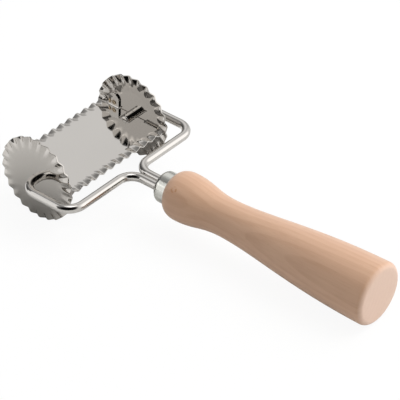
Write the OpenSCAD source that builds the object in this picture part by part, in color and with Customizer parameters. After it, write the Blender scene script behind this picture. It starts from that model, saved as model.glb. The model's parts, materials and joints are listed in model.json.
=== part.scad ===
/* [Roller] */
// Diameter of the two crimped end discs
disc_d = 49; // [44:1:54]
// Distance between the middle planes of the two discs
disc_gap = 78; // [70:1:84]
// Thickness of the disc and plate sheet
sheet = 0.8; // [0.6:0.1:1]
// Radius at which the crimp starts on a disc
crimp_start_r = 18; // [17.9:0.1:18.6]
// Height of a disc's crimp wave at the rim, each way
disc_crimp_h = 0.7; // [0.4:0.05:1]
// Lean of a disc's rim towards the plate
disc_dish = 0.8; // [0:0.1:1]
// Number of crimp waves around a disc
disc_waves = 24; // [20:2:28]
// Turn of the right disc's waves about the axle, in degrees
right_wave_turn = 7; // [0:0.5:15]
// Turn of the left disc's waves about the axle, in degrees
left_wave_turn = 10; // [0:0.5:15]
// Width of the plate across both crimped edges
plate_w = 46.4; // [44:0.2:48]
// Depth of the crimp on a plate edge, measured inwards
plate_crimp_w = 5; // [4:0.5:6]
// Height of the plate's crimp wave at the edge, each way
plate_crimp_h = 0.85; // [0.4:0.05:1]
// Length of one crimp wave along the plate's edge
plate_pitch = 6.5; // [5:0.1:9]
// Distance of the middle crest to the left of the plate's middle
crest_shift = 1.6; // [0:0.1:6]
// Turn of the plate from the floor's plane, in degrees
plate_turn = 3.5; // [0:0.5:90]

/* [Plate ends] */
// Width of the notch that clears the axle stub
notch_w = 7.4; // [6:0.2:9]
// Depth of the notch from the disc's inner face
notch_depth = 7.6; // [7.4:0.2:10]
// Distance from the axis to the near side of a welded tab
tab_near = 9.5; // [8:0.5:11]
// Distance from the axis to the far side of a welded tab
tab_far = 17; // [16:0.2:17]
// Height of a welded tab above the plate
tab_h = 8.4; // [6:0.2:8.6]
// Corner radius of a tab
tab_corner_r = 3.4; // [1:0.2:4]
// Outer radius of the bend between the plate and a tab
tab_bend_r = 1.5; // [1.2:0.1:2]
// Width of the relief slit on each side of a tab
tab_relief = 0.4; // [0.3:0.1:0.8]

/* [Fork] */
// Diameter of the round wire
wire_d = 5; // [4.6:0.1:5.4]
// Bend radius at the wire's centre line
bend_r = 9; // [7:0.5:9.4]
// Distance between the centre lines of the two side arms
arm_span = 98.6; // [94:0.2:104]
// Distance from the roller's axis back to the cross arms
arm_back = 33.8; // [31:0.2:38]
// Length of the axle stub inside the disc
stub_in = 7.1; // [5:0.1:7.2]
// Chamfer on the end of the axle stub
stub_chamfer = 0.6; // [0.2:0.1:1]
// Radial running clearance between the stub and the disc's hole
stub_clearance = 0.06; // [0.02:0.01:0.1]
// Gap between the two wires where they lie side by side
strand_gap = 0.1; // [0.05:0.05:0.3]
// Length of wire held inside the handle
tang_l = 48; // [30:1:60]

/* [Ferrule] */
// Diameter of the ferrule
ferrule_d = 17.8; // [17:0.2:20]
// Distance from the roller's axis back to the tip of the dome
ferrule_back = 52.2; // [49:0.2:54]
// Height of the domed front
dome_h = 4.4; // [3:0.2:7]
// Length of the ferrule from the dome's tip to its rear rim
ferrule_l = 9.4; // [9:0.2:13]
// Wall thickness of the ferrule
ferrule_wall = 0.8; // [0.5:0.1:1.2]

/* [Handle] */
// Distance from the roller's axis back to the end of the handle
handle_back = 194; // [170:1:210]
// Diameter of the bulb next to the ferrule
bulb_d = 27.2; // [24:0.2:30]
// Distance from the front of the handle back to the bulb
bulb_at = 8.5; // [7:0.5:12]
// Diameter of the waist
waist_d = 20.5; // [18:0.5:24]
// Distance from the front of the handle back to the waist
waist_at = 36; // [30:1:42]
// Largest diameter, at the butt
butt_d = 34.2; // [30:0.2:38]
// Radius of the rounded edge at the butt
butt_edge_r = 3; // [1:0.5:5]

/* [Hidden] */
$fn = 96;

disc_r = disc_d / 2;
disc_x = disc_gap / 2;
inner_face_x = disc_x - sheet / 2;
wire_r = wire_d / 2;
arm_x = arm_span / 2;
strand_x = wire_r + strand_gap / 2;
butt_r = butt_d / 2;
ferrule_r = ferrule_d / 2;
handle_front = ferrule_back + ferrule_l;

// The tool rests on its discs and on the round edge of the butt, so the fork tips down to the rear.
edge_y = handle_back - butt_edge_r;
edge_z = butt_r - butt_edge_r;
tilt = asin((disc_r - butt_edge_r) / norm([edge_y, edge_z])) - atan(edge_z / edge_y);
rear_reach = edge_y * cos(tilt) + edge_z * sin(tilt) + butt_edge_r;
roller_y = (rear_reach - disc_r) / 2;

// Samples to each crimp wave, and steps of a profile curve.
wave_steps = 6;
curve_steps = 14;
// Radius of the exact round middle of a disc, inside the faceted crimped ring.
hub_r = 14;
ring_overlap = 0.5;
// Flat lead-in of a crimped strip, where it joins the flat of the plate.
strip_lead = 0.3;
// The plate's fluted corners stop short of the crimped rims, and its flat ends short of the discs.
corner_gap = 0.3;
plate_end_gap = 0.3;
corner_x = inner_face_x - disc_dish - disc_crimp_h - corner_gap;

// The handle's spigot fills the ferrule, and both are cleared for the two wires.
tenon_clearance = 0.1;
slot_clearance = 0.08;
bore_r = strand_x + wire_r + 0.05;
bore_l = ferrule_l + tang_l + 2;

function bezier(a, b, c, d, t) =
    pow(1 - t, 3) * a + 3 * pow(1 - t, 2) * t * b + 3 * (1 - t) * t * t * c + pow(t, 3) * d;
function curve(a, b, c, d) = [for (i = [1 : curve_steps]) bezier(a, b, c, d, i / curve_steps)];

module place_roller() {
    translate([0, roller_y, disc_r]) rotate([plate_turn, 0, 0]) children();
}

module place_fork() {
    translate([0, roller_y, disc_r]) rotate([tilt, 0, 0]) children();
}

// A solid swept through sections of m points each, given one section after another.
// It closes on itself when looped is true, and otherwise has a flat cap at each end.
module swept(points, m, looped) {
    n = len(points) / m;
    sides = [for (c = [0 : looped ? n - 1 : n - 2], k = [0 : m - 1])
        let (d = (c + 1) % n, j = (k + 1) % m)
        [c * m + k, c * m + j, d * m + j, d * m + k]];
    caps = looped ? [] : [
        [for (k = [m - 1 : -1 : 0]) k],
        [for (k = [0 : m - 1]) (n - 1) * m + k]
    ];
    polyhedron(points, concat(sides, caps));
}

// Stations of a crimped band from its flat inner side to its edge, as [distance, growth, face],
// out along the lower face and back along the upper one. The growth runs from 0 to 1.
function band(inner, start, edge) = let (
        out = [[inner, 0], [start, 0], [(start + edge) / 2, 0.45], [edge, 1]]
    ) concat([for (p = out) concat(p, -1)], [for (i = [3 : -1 : 0]) concat(out[i], 1)]);

// Fluted and slightly dished ring of a disc, in the XY plane.
module crimped_ring(wave_turn) {
    steps = disc_waves * wave_steps;
    stations = band(hub_r - ring_overlap, crimp_start_r, disc_r);
    swept([for (c = [0 : steps - 1], p = stations)
        let (
            a = 360 * c / steps,
            wave = disc_crimp_h * cos(disc_waves * (a - wave_turn)) - disc_dish
        )
        [p[0] * cos(a), p[0] * sin(a), p[1] * wave + p[2] * sheet / 2]],
        len(stations), true);
}

// A disc turned so that its axis lies along X and its outer face looks along +X.
module disc(wave_turn) {
    translate([disc_x, 0, 0]) rotate([0, 90, 0]) difference() {
        union() {
            cylinder(h = sheet, r = hub_r, center = true);
            crimped_ring(wave_turn);
        }
        cylinder(h = 3 * sheet, r = wire_r + stub_clearance, center = true);
    }
}

// Crimped strip along the plate's front edge.
module crimped_strip() {
    steps = ceil(2 * corner_x * wave_steps / plate_pitch);
    start = plate_w / 2 - plate_crimp_w;
    stations = band(start, start + strip_lead, plate_w / 2);
    swept([for (c = [0 : steps], p = stations)
        let (
            x = corner_x * (1 - 2 * c / steps),
            wave = plate_crimp_h * cos(360 * (x + crest_shift) / plate_pitch)
        )
        [x, p[0], p[1] * wave + p[2] * sheet / 2]],
        len(stations), false);
}

// Flat middle of the plate: full length beside the notches, shorter where the tabs bend away.
module plate_flat() {
    flat_x = inner_face_x - tab_bend_r;
    linear_extrude(sheet, center = true) difference() {
        union() {
            square([2 * corner_x, plate_w - 2 * plate_crimp_w], center = true);
            square([2 * flat_x, 2 * tab_far], center = true);
            square([2 * (inner_face_x - plate_end_gap), 2 * (tab_near - tab_relief)], center = true);
        }
        for (s = [-1, 1]) translate([s * (inner_face_x - notch_depth / 2 + sheet), 0])
            square([notch_depth + 2 * sheet, notch_w], center = true);
        for (s = [-1, 1], f = [-1, 1])
            translate([s * (flat_x + sheet), f * (tab_near + tab_far) / 2])
                square([2 * sheet, tab_far - tab_near + 2 * tab_relief], center = true);
    }
}

// One tab at the right front: a bend of a quarter turn and a round-cornered ear that stands up.
module tab() {
    w = tab_far - tab_near;
    flat_x = inner_face_x - tab_bend_r;
    centre_z = tab_bend_r - sheet / 2;
    translate([flat_x, tab_far, centre_z]) rotate([90, 0, 0])
        rotate([0, 0, -90]) rotate_extrude(angle = 90)
            translate([tab_bend_r - sheet, 0]) square([sheet, w]);
    ear_h = tab_h - centre_z;
    translate([inner_face_x - sheet, tab_near, centre_z])
        rotate([90, 0, 90]) linear_extrude(sheet) union() {
            square([w, ear_h - tab_corner_r]);
            translate([tab_corner_r, 0]) square([w - 2 * tab_corner_r, ear_h]);
            for (x = [tab_corner_r, w - tab_corner_r])
                translate([x, ear_h - tab_corner_r]) circle(tab_corner_r);
        }
}

// The front tabs stand up and the rear tabs hang down, alike at both ends.
module four_tabs() {
    for (turn = [0, 180]) rotate([turn, 0, 0]) {
        tab();
        mirror([1, 0, 0]) tab();
    }
}

// Wire of the right-hand side, from the end of the tang to the tip of the axle stub.
module fork_wire() {
    neck_x = strand_x + bend_r;
    bend_x = arm_x - bend_r;
    tang_end = ferrule_back + ferrule_l + tang_l;
    stub_end = inner_face_x - stub_in;
    translate([strand_x, -tang_end, 0]) rotate([-90, 0, 0])
        cylinder(h = tang_end - arm_back - bend_r, r = wire_r);
    translate([neck_x, -arm_back - bend_r, 0]) rotate([0, 0, 90]) wire_bend();
    translate([neck_x, -arm_back, 0]) rotate([0, 90, 0])
        cylinder(h = bend_x - neck_x, r = wire_r);
    translate([bend_x, bend_r - arm_back, 0]) rotate([0, 0, -90]) wire_bend();
    translate([arm_x, bend_r - arm_back, 0]) rotate([-90, 0, 0])
        cylinder(h = arm_back - 2 * bend_r, r = wire_r);
    translate([bend_x, -bend_r, 0]) wire_bend();
    translate([stub_end + stub_chamfer, 0, 0]) rotate([0, 90, 0])
        cylinder(h = bend_x - stub_end - stub_chamfer, r = wire_r);
    translate([stub_end, 0, 0]) rotate([0, 90, 0])
        cylinder(h = stub_chamfer, r1 = wire_r - stub_chamfer, r2 = wire_r);
}

module wire_bend() {
    rotate_extrude(angle = 90) translate([bend_r, 0]) circle(wire_r);
}

// Outline of the ferrule's quarter section, from the dome's tip to the rim, at a wall's depth.
function dome_line(depth) = [for (i = [0 : curve_steps])
    let (a = 90 * i / curve_steps)
    [(ferrule_r - depth) * sin(a), dome_h - (dome_h - depth) * cos(a)]];

// Room for the two wires, side by side, from the given distance behind the axis.
module wire_slot(start, l, clearance) {
    translate([0, -start, 0]) rotate([90, 0, 0]) {
        for (s = [-1, 1]) translate([s * strand_x, 0, 0]) cylinder(h = l, r = wire_r + clearance);
        translate([-strand_x, -wire_r - clearance, 0])
            cube([2 * strand_x, 2 * (wire_r + clearance), l]);
    }
}

// Solids turned about the handle's axis, drawn with their front at y = -start and Z to the rear.
module turned(start) {
    translate([0, -start, 0]) rotate([90, 0, 0]) rotate_extrude() children();
}

module handle_outline() {
    l = handle_back - handle_front;
    nose = [ferrule_r - 0.4, 0];
    bulb = [bulb_d / 2, bulb_at];
    waist = [waist_d / 2, waist_at];
    butt = [butt_r, l - butt_edge_r];
    edge = [for (i = [1 : curve_steps])
        let (a = 90 * i / curve_steps)
        [butt_r - butt_edge_r + butt_edge_r * cos(a), l - butt_edge_r + butt_edge_r * sin(a)]];
    polygon(concat(
        [[0, 0], nose],
        curve(nose, nose + [3.2, 0.6], bulb - [0, 4.6], bulb),
        curve(bulb, bulb + [0, 11.5], waist - [0, 12], waist),
        curve(waist, waist + [0, 23], butt - [0.4, 46], butt),
        edge,
        [[0, l]]
    ));
}

module left_disc() {
    color("silver") place_roller() mirror([1, 0, 0]) disc(left_wave_turn);
}

module right_disc() {
    color("silver") place_roller() disc(right_wave_turn);
}

module cutter_plate() {
    color("gainsboro") place_roller() {
        plate_flat();
        crimped_strip();
        mirror([0, 1, 0]) crimped_strip();
        four_tabs();
    }
}

module left_fork_wire() {
    color("lightgray") place_fork() mirror([1, 0, 0]) fork_wire();
}

module right_fork_wire() {
    color("lightgray") place_fork() fork_wire();
}

module ferrule() {
    color("darkgray") place_fork() difference() {
        turned(ferrule_back) polygon(concat(
            dome_line(0),
            [[ferrule_r, ferrule_l], [ferrule_r - ferrule_wall, ferrule_l]],
            [for (i = [curve_steps : -1 : 0]) dome_line(ferrule_wall)[i]]
        ));
        wire_slot(ferrule_back - 1, ferrule_l, slot_clearance);
    }
}

module handle() {
    tenon_r = ferrule_r - ferrule_wall - tenon_clearance;
    color("burlywood") place_fork() difference() {
        union() {
            turned(handle_front) handle_outline();
            turned(ferrule_back + dome_h) square([tenon_r, ferrule_l - dome_h]);
        }
        translate([0, 1 - ferrule_back, 0]) rotate([90, 0, 0]) cylinder(h = bore_l + 1, r = bore_r);
    }
}

left_disc();
right_disc();
cutter_plate();
left_fork_wire();
right_fork_wire();
ferrule();
handle();
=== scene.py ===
"""Looks of a rolling pastry cutter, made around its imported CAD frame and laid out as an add-on."""

import json
import math

import bmesh
import bpy
from bpy.props import FloatProperty, FloatVectorProperty, IntProperty, PointerProperty
from bpy.types import Operator, Panel, PropertyGroup
from mathutils import Matrix, Vector

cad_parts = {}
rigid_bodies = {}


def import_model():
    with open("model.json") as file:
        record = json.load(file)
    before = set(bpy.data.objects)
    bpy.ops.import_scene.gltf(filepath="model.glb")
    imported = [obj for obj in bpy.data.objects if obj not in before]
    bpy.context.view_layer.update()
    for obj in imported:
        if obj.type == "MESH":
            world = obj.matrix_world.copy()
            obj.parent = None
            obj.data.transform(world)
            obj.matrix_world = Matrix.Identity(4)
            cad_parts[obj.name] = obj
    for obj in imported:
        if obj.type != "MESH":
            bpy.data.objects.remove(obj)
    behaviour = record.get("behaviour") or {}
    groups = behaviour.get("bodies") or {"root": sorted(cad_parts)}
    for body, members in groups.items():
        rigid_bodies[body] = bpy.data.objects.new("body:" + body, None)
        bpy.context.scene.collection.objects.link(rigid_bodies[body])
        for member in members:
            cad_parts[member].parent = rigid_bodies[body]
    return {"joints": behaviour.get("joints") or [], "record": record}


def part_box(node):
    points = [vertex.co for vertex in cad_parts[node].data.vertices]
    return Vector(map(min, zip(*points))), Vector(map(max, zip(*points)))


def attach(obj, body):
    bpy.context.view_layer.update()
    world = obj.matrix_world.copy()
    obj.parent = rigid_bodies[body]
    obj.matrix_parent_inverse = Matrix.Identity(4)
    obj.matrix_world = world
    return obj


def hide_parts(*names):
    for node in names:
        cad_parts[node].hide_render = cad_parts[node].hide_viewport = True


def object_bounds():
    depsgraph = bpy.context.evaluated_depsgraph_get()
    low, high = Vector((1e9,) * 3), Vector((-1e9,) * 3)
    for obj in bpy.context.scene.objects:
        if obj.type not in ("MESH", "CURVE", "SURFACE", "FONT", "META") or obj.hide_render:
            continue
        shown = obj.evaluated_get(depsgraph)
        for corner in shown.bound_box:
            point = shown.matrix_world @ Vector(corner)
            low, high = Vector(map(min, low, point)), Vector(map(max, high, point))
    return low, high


bl_info = {
    "name": "Rolling Pastry Cutter",
    "version": (1, 0, 0),
    "blender": (4, 5, 0),
    "location": "View3D > Sidebar > Pastry Cutter",
    "description": "Makes a fluted roller, its wire fork, ferrule and beech handle on a packed frame",
    "category": "Object",
}

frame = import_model()
CAD_LOW, CAD_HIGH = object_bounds()

MM = 0.001
SPIN = frame["joints"][0]
ROLLER_BODY = SPIN["child"]
FORK_BODY = SPIN["parent"]
AXLE = Vector(SPIN["pos_m"])
DISC_LOW, DISC_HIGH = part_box("right_disc")
DISC_RADIUS = (DISC_HIGH.z - DISC_LOW.z) / 2
DISC_OUTER_X = DISC_HIGH.x
REST_FACE = frame["record"]["mounts"][0]
FORK_TILT = math.atan2(-REST_FACE["axis"][2], -REST_FACE["axis"][1])
BUTT_BACK = (AXLE - Vector(REST_FACE["pos_m"])).length

FLUTE_FLATTENING = 0.05  # share of the third harmonic in a flute's wave
FLUTE_EASING = 1.05  # power by which a flute grows towards its edge


def length(name, about, value):
    """A length property; its default is given in millimetres."""
    return FloatProperty(name=name, description=about, default=value * MM, unit="LENGTH", precision=4)


def tint(name, about, value):
    """A colour property."""
    return FloatVectorProperty(name=name, description=about, default=value, size=3, subtype="COLOR",
                               min=0, max=1)


class RollerSettings(PropertyGroup):
    """Sizes of the discs and of the plate between them."""

    sheet: length("Sheet", "Thickness of the disc and plate sheet", 0.8)
    bore: length("Bore", "Radius of the hole that runs on an axle stub", 2.56)
    flute_start: length("Flute start", "Radius at which the flutes begin on a disc", 18.0)
    disc_flutes: IntProperty(name="Disc flutes", description="Flutes around a disc", default=24, min=8)
    disc_flute_height: length("Disc flute height", "Height of a disc's flute at the rim, each way", 0.68)
    disc_dish: length("Disc dish", "Lean of a disc's rim towards the plate", 0.8)
    right_turn: FloatProperty(name="Right flute turn", description="Turn of the right disc's flutes",
                              default=math.radians(7), subtype="ANGLE")
    left_turn: FloatProperty(name="Left flute turn", description="Turn of the left disc's flutes",
                             default=math.radians(10), subtype="ANGLE")
    flute_pitch: length("Flute pitch", "Length of one flute along a plate edge", 6.5)
    flute_shift: length("Flute shift", "Place of the middle crest from the plate's middle", -1.6)
    plate_flute_height: length("Plate flute height", "Height of a plate's flute at the edge, each way", 0.85)
    plate_half: length("Plate half width", "Distance from the axis to a fluted edge", 23.15)
    plate_flute: length("Plate flute depth", "Depth of the flutes inwards from a plate edge", 5.0)
    edge_break: length("Edge break", "Width of the broken corner along the sheet's edges", 0.1)
    corner_gap: length("Corner gap", "Gap between the plate's fluted corner and a rim", 0.3)
    end_gap: length("End gap", "Gap between the plate's end and a disc", 0.3)
    notch_width: length("Notch width", "Width of the notch around an axle stub", 7.4)
    notch_depth: length("Notch depth", "Depth of that notch from a disc's inner face", 7.6)
    tab_near: length("Tab near side", "Distance from the axis to the near side of a tab", 9.5)
    tab_far: length("Tab far side", "Distance from the axis to the far side of a tab", 17.0)
    tab_height: length("Tab height", "Height of a tab above the plate", 8.4)
    tab_corner: length("Tab corner", "Corner radius of a tab", 3.4)
    tab_bend: length("Tab bend", "Outer radius of the bend into a tab", 1.5)
    tab_relief: length("Tab relief", "Width of the slit beside a tab", 0.4)
    tab_stand: length("Tab stand", "Gap between a tab and its disc away from the welds", 0.2)
    weld_first: length("First weld", "Distance from the axis to the first weld spot", 12.9)
    weld_second: length("Second weld", "Distance from the axis to the second weld spot", 16.3)
    weld_height: length("Weld height", "Height of the weld spots above the plate", 3.0)
    weld_radius: length("Weld radius", "Radius of the dent that a weld leaves", 1.1)
    weld_dent: length("Weld dent", "Depth of that dent", 0.16)
    burn_radius: length("Burn radius", "Radius of the brown ring that a weld leaves", 1.05)
    heat_radius: length("Heat radius", "Distance from a weld at which its straw tint ends", 2.4)
    turn: FloatProperty(name="Turn", description="Turn of the plate from the floor's plane",
                        default=math.radians(3.5), subtype="ANGLE")
    steel: tint("Plate steel", "Colour of the plate's polished stainless sheet", (0.605, 0.585, 0.56))
    disc_steel: tint("Disc steel", "Colour of the discs' polished stainless sheet", (0.54, 0.515, 0.485))
    straw: tint("Straw tint", "Colour that the welding heat leaves around a spot", (0.42, 0.33, 0.20))
    burnt: tint("Burnt ring", "Colour of the brown ring at a weld", (0.14, 0.10, 0.07))


class ForkSettings(PropertyGroup):
    """Sizes of the wires and the ferrule."""

    wire: length("Wire radius", "Radius of the round wire", 2.5)
    bend: length("Bend radius", "Bend radius at the wire's centre line", 9.0)
    arm_back: length("Cross arm", "Distance from the axle back to the cross arms", 33.8)
    stub_end: length("Stub end", "Distance from the middle to the end of an axle stub", 31.5)
    stub_chamfer: length("Stub rounding", "Radius of the rounded edge at a stub's end", 0.6)
    strand_gap: length("Strand gap", "Gap between the wires where they run side by side", 0.1)
    tang_end: length("Tang end", "Distance from the axle back to the end of a tang", 108.0)
    ferrule_radius: length("Ferrule radius", "Outer radius of the ferrule", 8.9)
    ferrule_front: length("Ferrule front", "Distance from the axle back to the dome's tip", 52.2)
    ferrule_dome: length("Ferrule dome", "Height of the domed front", 4.4)
    ferrule_length: length("Ferrule length", "Length from the dome's tip to the rear rim", 9.4)
    ferrule_wall: length("Ferrule wall", "Wall thickness of the ferrule", 0.8)
    rim_roll: length("Rim roll", "How far the ferrule's rear rim swells at its edge", 0.12)
    rim_depth: length("Rim depth", "Depth to which the inside of the rear rim is made", 2.0)
    slot_gap: length("Slot gap", "Gap between a wire and the slot around it", 0.08)
    slot_depth: length("Slot depth", "Depth of the slot's wall behind the dome's face", 1.2)
    slot_lip: length("Slot lip", "Width of the rounded lip around the slot", 0.2)
    steel: tint("Steel", "Colour of the bright wire", (0.62, 0.60, 0.575))
    nickel: tint("Nickel", "Colour of the satin ferrule", (0.70, 0.70, 0.66))
    tarnish: tint("Tarnish", "Colour of the ferrule's duller patches", (0.55, 0.55, 0.50))


class HandleSettings(PropertyGroup):
    """Sizes and colours of the turned handle."""

    nose_radius: length("Nose", "Radius at the front, behind the ferrule", 8.5)
    bulb_radius: length("Bulb radius", "Radius of the bulb", 13.6)
    bulb_at: length("Bulb place", "Distance from the front to the bulb", 8.5)
    waist_radius: length("Waist radius", "Radius of the waist", 10.25)
    waist_at: length("Waist place", "Distance from the front to the waist", 36.0)
    butt_radius: length("Butt radius", "Largest radius, at the butt", 17.1)
    butt_edge: length("Butt edge", "Radius of the rounded edge at the butt", 3.0)
    ring_pitch: length("Ring pitch", "Spacing of the growth rings", 3.4)
    knot_at: length("Knot place", "Distance from the front to the pin knot", 7.9)
    knot_depth: length("Knot depth", "Depth of the knot's middle below the bulb's radius", 0.3)
    knot_radius: length("Knot radius", "Radius of the pin knot's ring", 1.4)
    knot_turn: FloatProperty(name="Knot turn", description="Turn of the knot about the handle",
                             default=math.radians(135), subtype="ANGLE")
    early: tint("Early wood", "Colour of the pale wood", (0.69, 0.43, 0.28))
    late: tint("Late wood", "Colour of the darker wood", (0.57, 0.32, 0.195))
    # Partly the sanded end grain's own colour, partly painted light: it makes the butt face paler, as the
    # light falling on that face would.
    end_grain_and_light: tint("End grain", "Colour of the sanded end grain at the butt", (0.82, 0.59, 0.47))
    blush: tint("Blush", "Colour that the wood leans to in its warmer patches", (0.83, 0.52, 0.38))
    knot: tint("Pin knot", "Colour of the tiny knot on the bulb", (0.52, 0.22, 0.08))
    fleck: tint("Fleck", "Colour of the short pores and rays", (0.50, 0.31, 0.19))


class StageSettings(PropertyGroup):
    """The camera, the light and the floor."""

    azimuth: FloatProperty(name="Azimuth", description="Camera's turn about the vertical",
                           default=math.radians(-49.84), subtype="ANGLE")
    elevation: FloatProperty(name="Elevation", description="Camera's height above the horizon",
                             default=math.radians(35.60), subtype="ANGLE")
    roll: FloatProperty(name="Roll", description="Camera's turn about its own line of sight",
                        default=math.radians(-1.15), subtype="ANGLE")
    distance: length("Distance", "Distance from the camera to its target", 1087.1)
    lens: FloatProperty(name="Lens", description="Focal length in millimetres", default=188.5, min=10)
    target: FloatVectorProperty(name="Target", description="Point that the camera looks at",
                                default=(0.0022, 0.0073, 0.022), size=3, subtype="TRANSLATION")
    sky: FloatProperty(name="Sky", description="Strength of the graded sky", default=1.65)
    dark: FloatProperty(name="Dark patch", description="Strength left in the sky's dark patch",
                        default=0.03)
    floor: tint("Floor", "Colour of the floor", (0.80, 0.80, 0.79))
    floor_patch: tint("Floor patches", "Colour that the floor leans to in patches", (0.70, 0.70, 0.70))
    seen_share: FloatProperty(name="Seen glow", description="Share of glow in the floor that is seen",
                              default=0.91)
    seen_glow: FloatProperty(name="Seen strength", description="Strength of that glow", default=1.02)
    mirrored_share: FloatProperty(name="Mirrored glow", default=0.9,
                                  description="Share of glow in the far floor that mirrors show")
    mirrored_glow: FloatProperty(name="Mirrored strength", description="Strength of that glow", default=1.2)
    glow_start: length("Glow start", "Distance past the axle at which the mirrored glow starts", 30)
    glow_full: length("Glow full", "Distance past the axle at which the mirrored glow is full", 160)


def settings(name):
    """One settings group of the scene."""
    return getattr(bpy.context.scene, "cutter_" + name)


# ---- placing and finishing pieces -------------------------------------------------------------


def roller_place():
    """Frame of the roller: origin on the axle, X along it, Y across the plate towards the front."""
    return Matrix.Translation(AXLE) @ Matrix.Rotation(settings("roller").turn, 4, "X")


def fork_place():
    """Frame of the fork: origin on the axle, Y from the handle towards the roller."""
    return Matrix.Translation(AXLE) @ Matrix.Rotation(FORK_TILT, 4, "X")


def handle_front():
    """Distance from the axle back to the handle's front, which meets the ferrule's rear rim."""
    fork = settings("fork")
    return fork.ferrule_front + fork.ferrule_length


def make_piece(name, rows, faces, place, material):
    """A smooth-shaded mesh object from points and faces in its own frame."""
    mesh = bpy.data.meshes.new(name)
    mesh.from_pydata([place @ Vector(row) for row in rows], [], faces)
    mesh.validate()
    mesh.update()
    fix = bmesh.new()
    fix.from_mesh(mesh)
    bmesh.ops.recalc_face_normals(fix, faces=fix.faces)
    for face in fix.faces:
        face.smooth = True
    fix.to_mesh(mesh)
    fix.free()
    mesh.materials.append(material)
    piece = bpy.data.objects.new(name, mesh)
    bpy.context.scene.collection.objects.link(piece)
    return piece


def outward_push(mesh):
    """How far and which way each rim point of an open surface moves for a unit step outwards."""
    push = {}
    for edge in mesh.edges:
        if len(edge.link_faces) != 1:
            continue
        face = edge.link_faces[0]
        first, second = edge.verts
        way = (second.co - first.co).cross(face.normal).normalized()
        if way.dot(face.calc_center_median() - first.co) > 0:
            way.negate()
        for corner in edge.verts:
            push.setdefault(corner.index, []).append(way)
    pushes = {}
    for index, ways in push.items():
        mean = sum(ways, Vector()) / len(ways)
        pushes[index] = mean / max(mean.length_squared, 0.5)
    return pushes


def thicken(rows, faces, thickness, broken):
    """Turns a middle surface into a closed sheet of even thickness whose edges are a little broken."""
    surface = bmesh.new()
    points = [surface.verts.new(row) for row in rows]
    for face in faces:
        surface.faces.new([points[i] for i in face])
    surface.verts.index_update()
    surface.verts.ensure_lookup_table()
    surface.normal_update()
    pushes = outward_push(surface)
    half = thickness / 2
    out, shell = [], []

    def level(depth, pull, only=None):
        numbers = {}
        for point in surface.verts:
            if only is None or point.index in only:
                inward = pushes.get(point.index, Vector()) * pull
                numbers[point.index] = len(out)
                out.append(point.co + point.normal * depth - inward)
        return numbers

    levels = [level(half, broken), level(half - broken, 0.0, pushes),
              level(broken - half, 0.0, pushes), level(-half, broken)]
    for face in surface.faces:
        corners = [corner.index for corner in face.verts]
        shell.append([levels[0][i] for i in corners])
        shell.append([levels[3][i] for i in reversed(corners)])
    for edge in surface.edges:
        if len(edge.link_faces) == 1:
            a, b = (corner.index for corner in edge.verts)
            for upper, lower in zip(levels, levels[1:]):
                shell.append([upper[a], upper[b], lower[b], lower[a]])
    surface.free()
    return out, shell


def sharpen(piece, degrees):
    """Keeps a crisp line along the edges that turn by this many degrees or more."""
    limit = math.radians(degrees)
    mesh = bmesh.new()
    mesh.from_mesh(piece.data)
    for edge in mesh.edges:
        edge.smooth = len(edge.link_faces) != 2 or edge.calc_face_angle(0) < limit
    mesh.to_mesh(piece.data)
    mesh.free()


def settle(piece, body, slot, *nodes):
    """Hands a finished piece to the frame: its body and the nodes that it stands for, which it hides. The
    slot is not used.
    """
    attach(piece, body)
    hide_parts(*nodes)


def spread(low, high, step):
    """Evenly spaced values from low to high, about a step apart, without the last."""
    count = max(1, round((high - low) / step))
    return [low + (high - low) * i / count for i in range(count)]


def strip_faces(first, second):
    """Faces between two rows of point numbers of the same length."""
    return [(first[i], first[i + 1], second[i + 1], second[i]) for i in range(len(first) - 1)]


def ring(start, around):
    """Point numbers of a closed row, which ends with its first one again."""
    return [start + i % around for i in range(around + 1)]


def joined(loops):
    """Faces between each row of point numbers and the next."""
    return [face for pair in zip(loops, loops[1:]) for face in strip_faces(*pair)]


def turned(outline, around, front):
    """Points and rows of a form turned about Y; outline gives its depths and radii at an angle."""
    angles = [2 * math.pi * i / around for i in range(around)]
    rows = []
    for places in zip(*(outline(angle) for angle in angles)):
        for angle, (depth, radius) in zip(angles, places):
            rows.append((radius * math.cos(angle), -front - depth, radius * math.sin(angle)))
    return rows, [ring(start, around) for start in range(0, len(rows), around)]


def quarter_turn(steps):
    """Angles of a quarter turn in even steps, without the first."""
    return [math.pi / 2 * i / steps for i in range(1, steps + 1)]


def bezier(a, b, c, d, t):
    """Point at t on a cubic curve."""
    s = 1 - t
    return s * s * s * a + 3 * s * s * t * b + 3 * s * t * t * c + t * t * t * d


# ---- materials ---------------------------------------------------------------------------------


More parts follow.
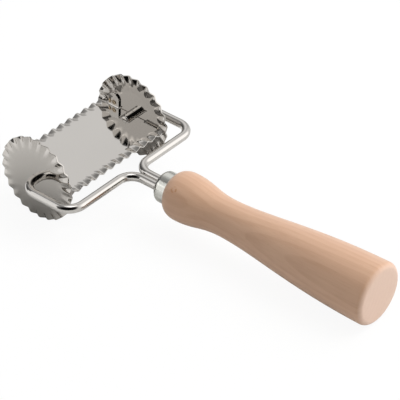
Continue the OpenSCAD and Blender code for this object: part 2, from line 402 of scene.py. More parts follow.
class Nodes:
    """A node tree, with short ways to add and join nodes."""

    def __init__(self, tree):
        self.tree = tree

    def add(self, kind, **values):
        """A node; values set its properties, or its inputs where the name is an input's."""
        node = self.tree.nodes.new(kind)
        for key, value in values.items():
            label = key.replace("_", " ")
            if label in node.inputs:
                self.feed(node.inputs[label], value)
            else:
                setattr(node, key, value)
        return node

    def feed(self, socket, value):
        """Links a socket to another one, or sets its value."""
        if isinstance(value, bpy.types.NodeSocket):
            self.tree.links.new(value, socket)
        else:
            socket.default_value = value

    def math(self, operation, first, second=0.0, clamp=False):
        """One arithmetic node."""
        node = self.add("ShaderNodeMath", operation=operation, use_clamp=clamp)
        self.feed(node.inputs[0], first)
        self.feed(node.inputs[1], second)
        return node.outputs[0]

    def vector(self, operation, first, second=(0.0, 0.0, 0.0)):
        """One vector arithmetic node; returns the vector result."""
        node = self.add("ShaderNodeVectorMath", operation=operation)
        self.feed(node.inputs[0], first)
        self.feed(node.inputs[1], second)
        return node.outputs["Vector"]

    def number(self, operation, first, second):
        """One vector arithmetic node, such as DISTANCE, that gives a number."""
        node = self.add("ShaderNodeVectorMath", operation=operation)
        self.feed(node.inputs[0], first)
        self.feed(node.inputs[1], second)
        return node.outputs["Value"]

    def axes(self, coordinates):
        """The X, Y and Z of some coordinates, by name."""
        return self.add("ShaderNodeSeparateXYZ", Vector=coordinates).outputs

    def noise(self, coordinates, scale, detail=2.0, rough=0.5):
        """Smooth noise from 0 to 1."""
        node = self.add("ShaderNodeTexNoise", Vector=coordinates, Scale=scale, Detail=detail)
        self.feed(node.inputs["Roughness"], rough)
        return node.outputs["Fac"]

    def between(self, value, low, high, out_low=0.0, out_high=1.0, smooth=False):
        """Maps a value from one range to another, held at its ends."""
        node = self.add("ShaderNodeMapRange")
        node.interpolation_type = "SMOOTHSTEP" if smooth else "LINEAR"
        for socket, number in zip(node.inputs[:5], (value, low, high, out_low, out_high)):
            self.feed(socket, number)
        return node.outputs["Result"]

    def mix(self, share, first, second, blend="MIX"):
        """Blends two colours."""
        node = self.add("ShaderNodeMix", data_type="RGBA", blend_type=blend)
        self.feed(node.inputs["Factor"], share)
        self.feed(node.inputs["A"], first)
        self.feed(node.inputs["B"], second)
        return node.outputs["Result"]

    def lobe(self, coordinates, towards, inner, outer):
        """1 within the inner angle of a direction, falling to 0 at the outer angle, in degrees."""
        aligned = self.number("DOT_PRODUCT", coordinates, towards)
        edges = [math.cos(math.radians(angle)) for angle in (outer, inner)]
        return self.between(aligned, *edges, smooth=True)


class Finish(Nodes):
    """The node tree of a material, read in the own axes of the piece that wears it."""

    def __init__(self, name, place):
        self.material = bpy.data.materials.new(name)
        self.material.use_nodes = True
        super().__init__(self.material.node_tree)
        self.shader = self.tree.nodes["Principled BSDF"]
        own = self.add("ShaderNodeMapping", vector_type="TEXTURE")
        self.feed(own.inputs["Vector"], self.add("ShaderNodeTexCoord").outputs["Object"])
        own.inputs["Location"].default_value = place.to_translation()
        own.inputs["Rotation"].default_value = place.to_euler()
        self.where = own.outputs["Vector"]

    def stretched(self, x, y, z):
        """The piece's own coordinates, multiplied along each axis."""
        return self.vector("MULTIPLY", self.where, (x, y, z))

    def bump(self, height, strength, distance):
        """Feeds a height to the shader's normal."""
        node = self.add("ShaderNodeBump", Height=height, Strength=strength, Distance=distance)
        self.feed(self.shader.inputs["Normal"], node.outputs["Normal"])


def rgba(colour):
    """A colour with full alpha."""
    return (*colour, 1.0)


def steel_base(nodes, colour, low, high, smudge_scale):
    """Polished metal whose gloss wanders a little, as handled sheet does."""
    smudge = nodes.noise(nodes.where, smudge_scale, 3.0, 0.6)
    nodes.feed(nodes.shader.inputs["Metallic"], 1.0)
    nodes.feed(nodes.shader.inputs["Roughness"], nodes.between(smudge, 0.3, 0.75, low, high))
    dull = nodes.between(nodes.noise(nodes.where, smudge_scale * 0.4, 2.0), 0.35, 0.75, 0.0, 0.10)
    darker = tuple(0.72 * channel for channel in colour)
    return nodes.mix(dull, rgba(colour), rgba(darker))


def rolling_lines(nodes):
    """Faint lines that the mill leaves along polished sheet."""
    lines = nodes.noise(nodes.stretched(60.0, 4000.0, 60.0), 1.0)
    nodes.bump(lines, strength=0.05, distance=0.02 * MM)


def disc_steel():
    """Mirror-polished sheet with faint rolling lines."""
    nodes = Finish("polished_disc", roller_place())
    base = steel_base(nodes, settings("roller").disc_steel, low=0.035, high=0.08, smudge_scale=60.0)
    nodes.feed(nodes.shader.inputs["Base Color"], base)
    rolling_lines(nodes)
    return nodes.material


def plate_steel():
    """The same sheet, with a straw and brown heat tint around each pair of weld spots."""
    roller = settings("roller")
    nodes = Finish("polished_plate", roller_place())
    base = steel_base(nodes, roller.steel, low=0.035, high=0.08, smudge_scale=45.0)
    folded = nodes.axes(nodes.vector("ABSOLUTE", nodes.where))
    flat = nodes.add("ShaderNodeCombineXYZ", Y=folded["Y"], Z=folded["Z"]).outputs["Vector"]
    ragged = nodes.between(nodes.noise(nodes.where, 900.0, 3.0), 0.0, 1.0, -0.5 * MM, 0.5 * MM)
    heat_share = 0.0
    burn_share = 0.0
    for out in (roller.weld_first, roller.weld_second):
        spot = (0.0, out, roller.weld_height)
        away = nodes.math("ADD", nodes.number("DISTANCE", flat, spot), ragged)
        halo = nodes.between(away, roller.heat_radius / 4, roller.heat_radius, 1.0, 0.0, smooth=True)
        ring = nodes.math("ABSOLUTE", nodes.math("SUBTRACT", away, roller.burn_radius))
        burn = nodes.between(ring, 0.1 * MM, 0.6 * MM, 0.75, 0.0, smooth=True)
        heat_share = nodes.math("MAXIMUM", heat_share, halo)
        burn_share = nodes.math("MAXIMUM", burn_share, burn)
    tab_x = DISC_OUTER_X - roller.sheet - roller.tab_bend
    heat_share = nodes.math("MULTIPLY", heat_share, nodes.math("GREATER_THAN", folded["X"], tab_x))
    warmed = nodes.mix(nodes.math("MULTIPLY", heat_share, 0.8), base, rgba(roller.straw))
    burnt = nodes.mix(burn_share, warmed, rgba(roller.burnt))
    nodes.feed(nodes.shader.inputs["Base Color"], burnt)
    rolling_lines(nodes)
    return nodes.material


def wire_steel():
    """Bright drawn wire with a soft gloss and faint marks of the bending tool."""
    nodes = Finish("bright_wire", fork_place())
    base = steel_base(nodes, settings("fork").steel, low=0.05, high=0.10, smudge_scale=90.0)
    nodes.feed(nodes.shader.inputs["Base Color"], base)
    grit = nodes.noise(nodes.where, 1400.0, 3.0)
    nodes.bump(grit, strength=0.10, distance=0.03 * MM)
    return nodes.material


def ferrule_nickel():
    """Satin plating with the fine turning lines of a spun cap."""
    fork = settings("fork")
    nodes = Finish("satin_nickel", fork_place())
    nodes.feed(nodes.shader.inputs["Metallic"], 1.0)
    dull = nodes.between(nodes.noise(nodes.where, 300.0, 3.0), 0.3, 0.8, 0.0, 0.3)
    base = nodes.mix(dull, rgba(fork.nickel), rgba(fork.tarnish))
    nodes.feed(nodes.shader.inputs["Base Color"], base)
    rough = nodes.between(nodes.noise(nodes.where, 500.0), 0.3, 0.7, 0.13, 0.22)
    nodes.feed(nodes.shader.inputs["Roughness"], rough)
    turned = nodes.noise(nodes.stretched(30.0, 5200.0, 30.0), 1.0)
    nodes.bump(turned, strength=0.25, distance=0.04 * MM)
    return nodes.material


def growth_rings(nodes, pitch):
    """How late in its year's growth the wood is, around a heart that lies beside the handle."""
    heart = nodes.axes(nodes.vector("ADD", nodes.where, (31 * MM, 0.0, -16 * MM)))
    squares = [nodes.math("POWER", heart[axis], 2.0) for axis in ("X", "Z")]
    radius = nodes.math("SQRT", nodes.math("ADD", *squares))
    sway = nodes.math("MULTIPLY", nodes.noise(nodes.stretched(28.0, 7.0, 28.0), 1.0), 2.6)
    year = nodes.math("FRACT", nodes.math("ADD", nodes.math("DIVIDE", radius, pitch), sway))
    darkening = nodes.between(year, 0.15, 0.92, smooth=True)
    return nodes.math("MULTIPLY", darkening, nodes.between(year, 0.93, 1.0, 1.0, 0.0))


def pin_knot(nodes, streak):
    """How strongly the broken brown ring of a tiny knot on the bulb shows."""
    wood = settings("handle")
    radius = wood.bulb_radius - wood.knot_depth
    middle = (radius * math.cos(wood.knot_turn), -handle_front() - wood.knot_at,
              radius * math.sin(wood.knot_turn))
    ragged = nodes.between(streak, 0.3, 0.7, -0.6 * MM, 0.6 * MM)
    away = nodes.math("ADD", nodes.number("DISTANCE", nodes.where, middle), ragged)
    ring = nodes.math("ABSOLUTE", nodes.math("SUBTRACT", away, wood.knot_radius))
    broken = nodes.between(nodes.noise(nodes.where, 420.0), 0.42, 0.58, smooth=True)
    return nodes.math("MULTIPLY", nodes.between(ring, 0.2 * MM, 0.9 * MM, 0.7, 0.0, smooth=True), broken)


def turned_beech():
    """Pale beech: growth rings cut by the turned shape, long soft streaks, short flecks and pores."""
    wood = settings("handle")
    nodes = Finish("turned_beech", fork_place())
    streak = nodes.noise(nodes.stretched(420.0, 16.0, 420.0), 1.0, 3.0, 0.6)
    fine = nodes.noise(nodes.stretched(1900.0, 60.0, 1900.0), 1.0)
    rings = nodes.math("MULTIPLY", growth_rings(nodes, wood.ring_pitch), 0.34)
    tone = nodes.math("ADD", rings, nodes.between(streak, 0.35, 0.70, -0.08, 0.30))
    tone = nodes.math("ADD", tone, nodes.between(fine, 0.35, 0.75, -0.08, 0.14), clamp=True)
    body = nodes.mix(tone, rgba(wood.early), rgba(wood.late))
    fleck = nodes.noise(nodes.stretched(2600.0, 230.0, 2600.0), 1.0, 1.0)
    fleck_share = nodes.between(fleck, 0.66, 0.76, 0.0, 0.28)
    flecked = nodes.mix(fleck_share, body, rgba(wood.fleck))
    patches = nodes.noise(nodes.stretched(26.0, 11.0, 26.0), 1.0, 1.0)
    half_blushed = nodes.mix(0.5, flecked, rgba(wood.blush))
    warm = nodes.mix(nodes.between(patches, 0.4, 0.7, 0.0, 0.35), flecked, half_blushed)
    # The butt's end is painted paler: partly the end grain's own colour, partly painted light where light
    # falls on that face.
    along = nodes.axes(nodes.where)["Y"]
    end = nodes.between(along, -BUTT_BACK, 2.2 * MM - BUTT_BACK, 1.0, 0.0, smooth=True)
    ends = nodes.mix(nodes.math("MULTIPLY", end, 0.65), warm, rgba(wood.end_grain_and_light))
    knotted = nodes.mix(pin_knot(nodes, streak), ends, rgba(wood.knot))
    nodes.feed(nodes.shader.inputs["Base Color"], knotted)
    nodes.feed(nodes.shader.inputs["Sheen Weight"], 0.42)
    nodes.feed(nodes.shader.inputs["Sheen Roughness"], 0.55)
    nodes.feed(nodes.shader.inputs["Roughness"], nodes.between(streak, 0.3, 0.7, 0.44, 0.56))
    nodes.feed(nodes.shader.inputs["Specular IOR Level"], 0.35)
    pores = nodes.math("MULTIPLY", fleck_share, -1.2)
    relief = nodes.math("ADD", nodes.math("MULTIPLY", fine, 0.5), pores)
    nodes.bump(relief, strength=0.16, distance=0.08 * MM)
    return nodes.material


# ---- the roller --------------------------------------------------------------------------------


def flute(turns, height):
    """Height of the pressed flute after this many turns of its wave."""
    angle = 2 * math.pi * turns
    wave = math.cos(angle) + FLUTE_FLATTENING * math.cos(3 * angle)
    return height * wave / (1 + FLUTE_FLATTENING)


def growth(out, start, end):
    """How far a flute has grown at a distance out from its start, from 0 to 1."""
    share = max(0.0, (out - start) / (end - start))
    return share ** FLUTE_EASING


def make_disc(side, material):
    """One disc: a thin sheet with a punched hole and flutes that grow towards its rim."""
    roller = settings("roller")
    steps_per_flute = 18
    flat_step, flute_step = 3.5 * MM, 0.42 * MM
    steps = roller.disc_flutes * steps_per_flute
    radii = spread(roller.bore, roller.flute_start, flat_step)
    radii += spread(roller.flute_start, DISC_RADIUS, flute_step) + [DISC_RADIUS]
    middle_x = DISC_OUTER_X - roller.sheet / 2
    shift = (roller.left_turn if side < 0 else roller.right_turn) / (2 * math.pi)
    rows = []
    for radius in radii:
        grown = growth(radius, roller.flute_start, DISC_RADIUS)
        for step in range(steps):
            turn = step / steps
            angle = 2 * math.pi * turn
            wave = flute((turn - shift) * roller.disc_flutes, roller.disc_flute_height)
            out = side * (middle_x + grown * (wave - roller.disc_dish))
            rows.append((out, radius * math.cos(angle), radius * math.sin(angle)))
    faces = joined([ring(i * steps, steps) for i in range(len(radii))])
    name = "fluted_disc_left" if side < 0 else "fluted_disc_right"
    rows, faces = thicken(rows, faces, roller.sheet, roller.edge_break)
    piece = make_piece(name, rows, faces, roller_place(), material)
    sharpen(piece, degrees=32)
    settle(piece, ROLLER_BODY, "roller_steel", "left_disc" if side < 0 else "right_disc")


def plate_lines(marks, step):
    """Grid lines through all the marks, with the gaps between them filled by even steps."""
    lines = []
    for low, high in zip(marks, marks[1:]):
        lines += spread(low, high, step if high - low > step else high - low)
    return lines + [marks[-1]]


def weld_dent(y, z):
    """Depth of the weld dents at a place on a tab."""
    roller = settings("roller")
    depth = 0.0
    for out in (roller.weld_first, roller.weld_second):
        away = math.hypot(y - out, z - roller.weld_height) / roller.weld_radius
        if away < 1:
            depth = max(depth, roller.weld_dent * (1 - away ** 4))
    return depth


def add_tab(rows, faces, edge, side, front):
    """Bends one tab up from its edge points, by a quarter turn and a round-cornered ear."""
    roller = settings("roller")
    bend = roller.tab_bend - roller.sheet / 2
    face_x = DISC_OUTER_X - 1.5 * roller.sheet - roller.tab_stand
    flat_x = face_x - bend
    corner_z = roller.tab_height - roller.tab_corner
    places = []
    for angle in quarter_turn(8):
        places.append((flat_x + bend * math.sin(angle), bend - bend * math.cos(angle)))
    straight_steps = 16
    for i in range(1, straight_steps + 1):
        places.append((face_x, bend + (corner_z - bend) * i / straight_steps))
    for angle in quarter_turn(12):
        places.append((face_x, corner_z + roller.tab_corner * math.sin(angle)))
    across = [abs(rows[i][1]) for i in edge]
    near, far = min(across), max(across)
    below = edge
    for x, z in places:
        over = max(0.0, z - corner_z)
        cut = roller.tab_corner - math.sqrt(max(0.0, roller.tab_corner ** 2 - over ** 2))
        row = []
        for y in across:
            share = (y - near) / (far - near)
            place = near + cut + (far - near - 2 * cut) * share
            dent = weld_dent(place, z)
            row.append(len(rows))
            rows.append((side * (x + dent), front * place, front * z))
        faces += strip_faces(below, row)
        below = row


def make_plate(material):
    """The plate across the roller: flat middle, fluted edges, notched ends and four welded tabs."""
    roller = settings("roller")
    inner_x = DISC_OUTER_X - roller.sheet
    end_x = inner_x - roller.end_gap
    corner_x = inner_x - roller.disc_dish - roller.disc_flute_height - roller.corner_gap
    tab_x = inner_x - roller.tab_stand - roller.tab_bend
    notch_x = inner_x - roller.notch_depth
    flute_y = roller.plate_half - roller.plate_flute
    slit_near = roller.tab_near - roller.tab_relief
    slit_far = roller.tab_far + roller.tab_relief
    along_step, flat_step, tab_step = 0.36 * MM, 2 * MM, 0.45 * MM
    half_x = plate_lines([0.0, notch_x, corner_x, tab_x, end_x], along_step)
    flat_marks = [0.0, roller.notch_width / 2, slit_near, roller.tab_near]
    outer_marks = [roller.tab_near, roller.tab_far, slit_far, roller.plate_half]
    half_y = plate_lines(flat_marks, flat_step)[:-1] + plate_lines(outer_marks, tab_step)
    xs = [-x for x in reversed(half_x[1:])] + half_x
    ys = [-y for y in reversed(half_y[1:])] + half_y

    def height(x, y):
        size = roller.plate_flute_height * growth(abs(y), flute_y, roller.plate_half)
        return flute((x - roller.flute_shift) / roller.flute_pitch, size)

    def open_cell(x, y):
        in_notch = abs(x) > notch_x and abs(y) < roller.notch_width / 2
        in_slit = abs(x) > tab_x and slit_near < abs(y) < slit_far
        past_corner = abs(x) > corner_x and abs(y) > slit_far
        return in_notch or in_slit or past_corner

    rows = [(x, y, height(x, y)) for y in ys for x in xs]
    wide = len(xs)
    faces = []
    for j in range(len(ys) - 1):
        for i in range(wide - 1):
            if not open_cell((xs[i] + xs[i + 1]) / 2, (ys[j] + ys[j + 1]) / 2):
                corner = j * wide + i
                faces.append((corner, corner + 1, corner + wide + 1, corner + wide))
    slack = 0.001 * MM
    for side in (-1, 1):
        i = min(range(wide), key=lambda k: abs(xs[k] - side * tab_x))
        for front in (-1, 1):
            edge = [j * wide + i for j in range(len(ys))
                    if roller.tab_near - slack <= front * ys[j] <= roller.tab_far + slack]
            add_tab(rows, faces, edge, side, front)
    used = sorted({i for face in faces for i in face})
    renumber = {old: new for new, old in enumerate(used)}
    rows = [rows[i] for i in used]
    faces = [tuple(renumber[i] for i in face) for face in faces]
    rows, faces = thicken(rows, faces, roller.sheet, roller.edge_break)
    piece = make_piece("cutting_plate", rows, faces, roller_place(), material)
    sharpen(piece, degrees=32)
    settle(piece, ROLLER_BODY, "plate_steel", "cutter_plate")


# ---- the fork and ferrule ----------------------------------------------------------------------


def wire_path():
    """Centre line of the right wire, from its tang's end to its stub's tip, with directions."""
    fork = settings("fork")
    arm_x = CAD_HIGH.x - fork.wire
    strand_x = fork.wire + fork.strand_gap / 2
    neck = Vector((strand_x + fork.bend, -fork.arm_back - fork.bend, 0))
    rear = Vector((arm_x - fork.bend, fork.bend - fork.arm_back, 0))
    front = Vector((arm_x - fork.bend, -fork.bend, 0))
    path = [(Vector((strand_x, -fork.tang_end, 0)), Vector((0, 1, 0)))]
    turns = ((neck, 180, 90), (rear, -90, 0), (front, 0, 90))
    steps = 20
    for centre, start, end in turns:
        sense = 1 if end > start else -1
        for i in range(steps + 1):
            angle = math.radians(start + (end - start) * i / steps)
            spoke = Vector((math.cos(angle), math.sin(angle), 0))
            path.append((centre + fork.bend * spoke, sense * Vector((-spoke.y, spoke.x, 0))))
    path.append((Vector((fork.stub_end, 0, 0)), Vector((-1, 0, 0))))
    return path


def refine(path, step):
    """The same path with points added along its straight runs."""
    fine = [path[0]]
    for (start, _), (end, heading) in zip(path, path[1:]):
        count = max(1, round((end - start).length / step))
        fine += [(start.lerp(end, i / count), heading) for i in range(1, count + 1)]
    return fine


def make_wire(side, material):
    """One bent wire with a rounded edge at its stub's end."""
    fork = settings("fork")
    around = 40
    up = Vector((0, 0, 1))
    path = refine(wire_path(), 2.5 * MM)
    tip, heading = path.pop()
    stations = [(*path[0], 0.0)] + [(*place, fork.wire) for place in path]
    for angle in [0.0] + quarter_turn(4):
        back = fork.stub_chamfer * (1 - math.sin(angle))
        trim = fork.stub_chamfer * (1 - math.cos(angle))
        stations.append((tip - heading * back, heading, fork.wire - trim))
    stations += [(tip, heading, fork.wire * 0.4), (tip, heading, 0.0)]
    rows, loops = [], []
    for point, way, radius in stations:
        across = up.cross(way)
        if radius == 0.0:
            loops.append([len(rows)] * (around + 1))
            rows.append((side * point.x, point.y, point.z))
            continue
        loops.append(ring(len(rows), around))
        for i in range(around):
            angle = 2 * math.pi * i / around
            place = point + radius * (math.cos(angle) * across + math.sin(angle) * up)
            rows.append((side * place.x, place.y, place.z))
    faces = [tuple(dict.fromkeys(face)) for face in joined(loops)]
    name = "fork_wire_left" if side < 0 else "fork_wire_right"
    piece = make_piece(name, rows, faces, fork_place(), material)
    sharpen(piece, degrees=40)
    settle(piece, FORK_BODY, "fork_steel", "left_fork_wire" if side < 0 else "right_fork_wire")


def slot_reach(angle, half_width, radius):
    """Distance from the middle of a round-ended slot to its edge, in one direction."""
    c, s = abs(math.cos(angle)), abs(math.sin(angle))
    if c * radius <= s * half_width:
        return radius / s
    return half_width * c + math.sqrt(max(0.0, radius ** 2 - (half_width * s) ** 2))


def make_ferrule(material):
    """The domed cap: a slotted front, a straight skirt and a thin wall that shows at the rim."""
    fork = settings("fork")
    wall, skirt, lip = fork.ferrule_wall, fork.ferrule_length, fork.slot_lip

    def dome(radius, sink=0.0):
        """Depth and radius of a place on the dome's face, or sunk behind it."""
        share = min(1.0, radius / fork.ferrule_radius)
        return fork.ferrule_dome * (1 - math.sqrt(max(0.0, 1 - share * share))) + sink, radius

    def outline(angle):
        slot = slot_reach(angle, fork.wire + fork.strand_gap / 2, fork.wire + fork.slot_gap)
        inner = slot + lip
        places = [dome(slot, fork.slot_depth), dome(slot, 1.1 * lip), dome(slot + 0.3 * lip, 0.25 * lip)]
        for turn in [0.0] + quarter_turn(22):
            places.append(dome(inner + (fork.ferrule_radius - inner) * math.sin(turn)))
        for share in (0.2, 0.4, 0.6, 0.8, 1.0):
            places.append((fork.ferrule_dome + (skirt - fork.ferrule_dome) * share, fork.ferrule_radius))
        rim = ((skirt + fork.rim_roll, 0.3 * wall), (skirt, wall), (skirt - fork.rim_depth, wall))
        return places + [(depth, fork.ferrule_radius - inset) for depth, inset in rim]

    rows, loops = turned(outline, 120, fork.ferrule_front)
    piece = make_piece("ferrule_cap", rows, joined(loops), fork_place(), material)
    sharpen(piece, degrees=50)
    settle(piece, FORK_BODY, "ferrule_metal", "ferrule")


# ---- the handle --------------------------------------------------------------------------------


def handle_profile():
    """Outline of the handle from its nose to the middle of its butt, as distance back and radius."""
    wood = settings("handle")
    long = BUTT_BACK - handle_front()
    nose = Vector((0, wood.nose_radius))
    bulb = Vector((wood.bulb_at, wood.bulb_radius))
    waist = Vector((wood.waist_at, wood.waist_radius))
    butt = Vector((long - wood.butt_edge, wood.butt_radius))
    nose_pull = Vector((0.6, 3.2)) * MM
    bulb_pull_front, bulb_pull_back = Vector((4.6, 0)) * MM, Vector((11.5, 0)) * MM
    waist_pull_front, waist_pull_back = Vector((12, 0)) * MM, Vector((23, 0)) * MM
    butt_pull = Vector((46, 0.4)) * MM
    runs = (
        (16, nose, nose + nose_pull, bulb - bulb_pull_front, bulb),
        (26, bulb, bulb + bulb_pull_back, waist - waist_pull_front, waist),
        (70, waist, waist + waist_pull_back, butt - butt_pull, butt),
    )
    line = [nose]
    for steps, *run in runs:
        line += [bezier(*run, i / steps) for i in range(1, steps + 1)]
    centre = Vector((long - wood.butt_edge, wood.butt_radius - wood.butt_edge))
    for angle in quarter_turn(10):
        line.append(centre + wood.butt_edge * Vector((math.sin(angle), math.cos(angle))))
    line += [Vector((long, centre.y * share)) for share in (0.8, 0.6, 0.4, 0.2)]
    return line


def make_handle(material):
    """The turned handle, closed at the butt and with a front face around the ferrule."""
    fork = settings("fork")
    inner = fork.ferrule_radius - fork.ferrule_wall - 0.1 * MM
    recess = 1.5 * MM
    line = [Vector((-recess, inner)), Vector((0, inner))] + handle_profile()
    rows, loops = turned(lambda angle: line, 112, handle_front())
    faces = joined(loops) + [(*edge, len(rows)) for edge in zip(loops[-1], loops[-1][1:])]
    rows.append((0.0, -BUTT_BACK, 0.0))
    piece = make_piece("beech_handle", rows, faces, fork_place(), material)
    sharpen(piece, degrees=50)
    settle(piece, FORK_BODY, "handle_wood", "handle")


# ---- the stage ---------------------------------------------------------------------------------


def compass(azimuth, elevation):
    """Unit vector from the object towards this azimuth and elevation."""
    flat = math.cos(elevation)
    return Vector((math.sin(azimuth) * flat, -math.cos(azimuth) * flat, math.sin(elevation)))


def bearing(azimuth, elevation):
    """The same direction, from angles in degrees."""
    return compass(math.radians(azimuth), math.radians(elevation))


def make_camera():
    """The camera, turned about its line of sight by the roll."""
    stage = settings("stage")
    lens = bpy.data.cameras.new("camera")
    lens.lens = stage.lens
    lens.sensor_width = 36
    lens.clip_start = 0.05
    camera = bpy.data.objects.new("camera", lens)
    bpy.context.scene.collection.objects.link(camera)
    back = compass(stage.azimuth, stage.elevation)
    camera.rotation_mode = "QUATERNION"
    camera.location = Vector(stage.target) + back * stage.distance
    aim = (-back).to_track_quat("-Z", "Y").to_matrix()
    camera.rotation_quaternion = (aim @ Matrix.Rotation(stage.roll, 3, "Z")).to_quaternion()
    bpy.context.scene.camera = camera


def make_studio():
    """A graded sky: brightest at its window, dark behind the camera, and with two pale patches."""
    stage = settings("stage")
    world = bpy.data.worlds.new("studio")
    bpy.context.scene.world = world
    world.use_nodes = True
    nodes = Nodes(world.node_tree)
    where = nodes.add("ShaderNodeTexCoord").outputs["Generated"]

    def with_patch(light, azimuth, elevation, inner, outer, radiance):
        """The light, raised to this radiance within a patch; all angles are in degrees."""
        patch = nodes.lobe(where, bearing(azimuth, elevation), inner, outer)
        return nodes.math("MAXIMUM", light, nodes.math("MULTIPLY", patch, radiance))

    window = nodes.number("DOT_PRODUCT", where, bearing(azimuth=46, elevation=25))
    ramp = nodes.add("ShaderNodeValToRGB", Fac=nodes.between(window, -1.0, 1.0))
    # Greys of the sky, each with its place on the way from opposite the window to the window.
    greys = ((0, 0.05), (0.275, 0.06), (0.44, 0.17), (0.585, 0.22), (0.765, 0.36), (0.92, 0.60),
             (0.97, 1.0))
    while len(ramp.color_ramp.elements) < len(greys):
        ramp.color_ramp.elements.new(0.5)
    for element, (place, grey) in zip(ramp.color_ramp.elements, greys):
        element.position = place
        element.color = (grey, grey, grey, 1.0)
    dark = nodes.lobe(where, compass(stage.azimuth, stage.elevation), inner=31, outer=46)
    strength = nodes.between(dark, 0.0, 1.0, stage.sky, stage.dark)
    light = nodes.math("MULTIPLY", ramp.outputs["Color"], strength)
    light = with_patch(light, azimuth=127, elevation=44, inner=12, outer=46, radiance=0.64)
    light = with_patch(light, azimuth=-135, elevation=9, inner=20, outer=31, radiance=1.1)
    sky = world.node_tree.nodes["Background"]
    nodes.feed(sky.inputs["Strength"], light)
    nodes.feed(sky.inputs["Color"], (1.0, 0.99, 0.98, 1.0))


def add_softbox(name, azimuth, elevation, distance, size, radiance, reflected=True):
    """A square soft light that faces the axle and has an even radiance over its face."""
    light = bpy.data.lights.new(name, "AREA")
    light.shape = "SQUARE"
    light.size = size
    light.energy = radiance * math.pi * size * size
    box = bpy.data.objects.new(name, light)
    bpy.context.scene.collection.objects.link(box)
    back = bearing(azimuth, elevation)
    box.location = AXLE + back * distance
    box.rotation_mode = "QUATERNION"
    box.rotation_quaternion = (-back).to_track_quat("-Z", "Y")
    box.visible_camera = False
    box.visible_glossy = reflected


def make_lights():
    """A card close to the plate, another close to the discs, and two soft lights above."""
    add_softbox("plate_card", azimuth=127, elevation=44, distance=0.42, size=0.23, radiance=0.28)
    add_softbox("disc_card", azimuth=-128.9, elevation=43.6, distance=0.39, size=0.18, radiance=0.85)
    add_softbox("ceiling_card", azimuth=0, elevation=84, distance=1.5, size=0.7, radiance=1.5)
    add_softbox("top_light", azimuth=50, elevation=54, distance=1.5, size=1.0, radiance=4.0,
                reflected=False)


def add_floor_glow(nodes):
    """Mixes a white glow into the floor: all over as the camera sees it, far off as mirrors do."""
    stage = settings("stage")
    ray = nodes.add("ShaderNodeLightPath").outputs
    strength = nodes.between(ray["Is Camera Ray"], 0.0, 1.0, stage.mirrored_glow, stage.seen_glow)
    glow = nodes.add("ShaderNodeEmission", Color=(1.0, 1.0, 1.0, 1.0), Strength=strength)
    far = nodes.between(nodes.axes(nodes.where)["Y"], AXLE.y + stage.glow_start, AXLE.y + stage.glow_full,
                        0.0, stage.mirrored_share, smooth=True)
    seen = nodes.math("MULTIPLY", ray["Is Camera Ray"], stage.seen_share)
    mirrored = nodes.math("MULTIPLY", ray["Is Glossy Ray"], far)
    blend = nodes.add("ShaderNodeMixShader", Fac=nodes.math("MAXIMUM", seen, mirrored))
    nodes.feed(blend.inputs[1], nodes.shader.outputs["BSDF"])
    nodes.feed(blend.inputs[2], glow.outputs["Emission"])
    nodes.feed(nodes.tree.nodes["Material Output"].inputs["Surface"], blend.outputs["Shader"])


def make_floor():
    """A wide, plain, pale floor."""
    stage = settings("stage")
    half, steps = 3.0, 24
    wide = steps + 1
    marks = [half * (2 * i / steps - 1) for i in range(wide)]
    rows = [(x, y, 0.0) for y in marks for x in marks]
    faces = []
    for j in range(steps):
        faces += strip_faces(range(j * wide, (j + 1) * wide), range((j + 1) * wide, (j + 2) * wide))
    nodes = Finish("pale_floor", Matrix.Identity(4))
    patches = nodes.between(nodes.noise(nodes.where, 3.0), 0.3, 0.7, 0.0, 0.04)
    base = nodes.mix(patches, rgba(stage.floor), rgba(stage.floor_patch))
    nodes.feed(nodes.shader.inputs["Base Color"], base)
    nodes.feed(nodes.shader.inputs["Roughness"], 0.9)
    add_floor_glow(nodes)
    floor = make_piece("floor", rows, faces, Matrix.Identity(4), nodes.material)


# ---- operators ---------------------------------------------------------------------------------


class CUTTER_OT_stage(Operator):
    """Make the camera, the studio light and the floor"""

    bl_idname = "cutter.stage"
    bl_label = "Stage"

    def execute(self, context):
        context.scene.view_settings.view_transform = "Standard"
        make_camera()
        make_studio()
        make_lights()
        make_floor()
        return {"FINISHED"}


class CUTTER_OT_discs(Operator):
    """Make the two fluted discs"""

    bl_idname = "cutter.discs"
    bl_label = "Fluted discs"

    def execute(self, context):
        material = disc_steel()
        for side in (-1, 1):
            make_disc(side, material)
        return {"FINISHED"}


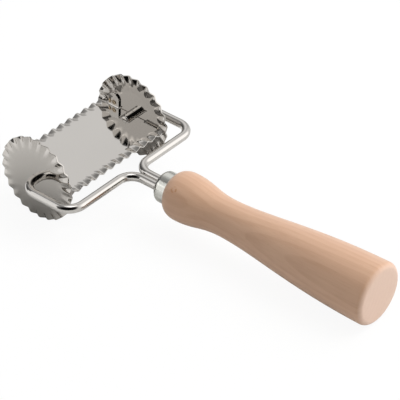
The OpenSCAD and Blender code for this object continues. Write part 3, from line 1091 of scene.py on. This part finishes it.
class CUTTER_OT_plate(Operator):
    """Make the plate with its fluted edges and welded tabs"""

    bl_idname = "cutter.plate"
    bl_label = "Cutting plate"

    def execute(self, context):
        make_plate(plate_steel())
        return {"FINISHED"}


class CUTTER_OT_wires(Operator):
    """Make the two bent wires of the fork"""

    bl_idname = "cutter.wires"
    bl_label = "Fork wires"

    def execute(self, context):
        material = wire_steel()
        for side in (-1, 1):
            make_wire(side, material)
        return {"FINISHED"}


class CUTTER_OT_ferrule(Operator):
    """Make the domed ferrule"""

    bl_idname = "cutter.ferrule"
    bl_label = "Ferrule"

    def execute(self, context):
        make_ferrule(ferrule_nickel())
        return {"FINISHED"}


class CUTTER_OT_handle(Operator):
    """Make the turned beech handle"""

    bl_idname = "cutter.handle"
    bl_label = "Handle"

    def execute(self, context):
        make_handle(turned_beech())
        return {"FINISHED"}


STEPS = (CUTTER_OT_stage, CUTTER_OT_discs, CUTTER_OT_plate, CUTTER_OT_wires, CUTTER_OT_ferrule,
         CUTTER_OT_handle)


class CUTTER_PT_panel(Panel):
    """Lists the makers of the cutter's pieces"""

    bl_idname = "CUTTER_PT_panel"
    bl_label = "Pastry Cutter"
    bl_space_type = "VIEW_3D"
    bl_region_type = "UI"
    bl_category = "Pastry Cutter"

    def draw(self, context):
        for step in STEPS:
            self.layout.operator(step.bl_idname, text=step.bl_label)


GROUPS = {"roller": RollerSettings, "fork": ForkSettings, "handle": HandleSettings,
          "stage": StageSettings}


def register():
    """Registers the settings, operators and panel."""
    for name, group in GROUPS.items():
        bpy.utils.register_class(group)
        setattr(bpy.types.Scene, "cutter_" + name, PointerProperty(type=group))
    for kind in (*STEPS, CUTTER_PT_panel):
        bpy.utils.register_class(kind)


def unregister():
    """Takes everything that register added away again."""
    for kind in reversed((*STEPS, CUTTER_PT_panel)):
        bpy.utils.unregister_class(kind)
    for name, group in GROUPS.items():
        delattr(bpy.types.Scene, "cutter_" + name)
        bpy.utils.unregister_class(group)


def main():
    register()
    for step in STEPS:
        group, name = step.bl_idname.split(".")
        getattr(getattr(bpy.ops, group), name)()


if __name__ == "__main__":
    main()
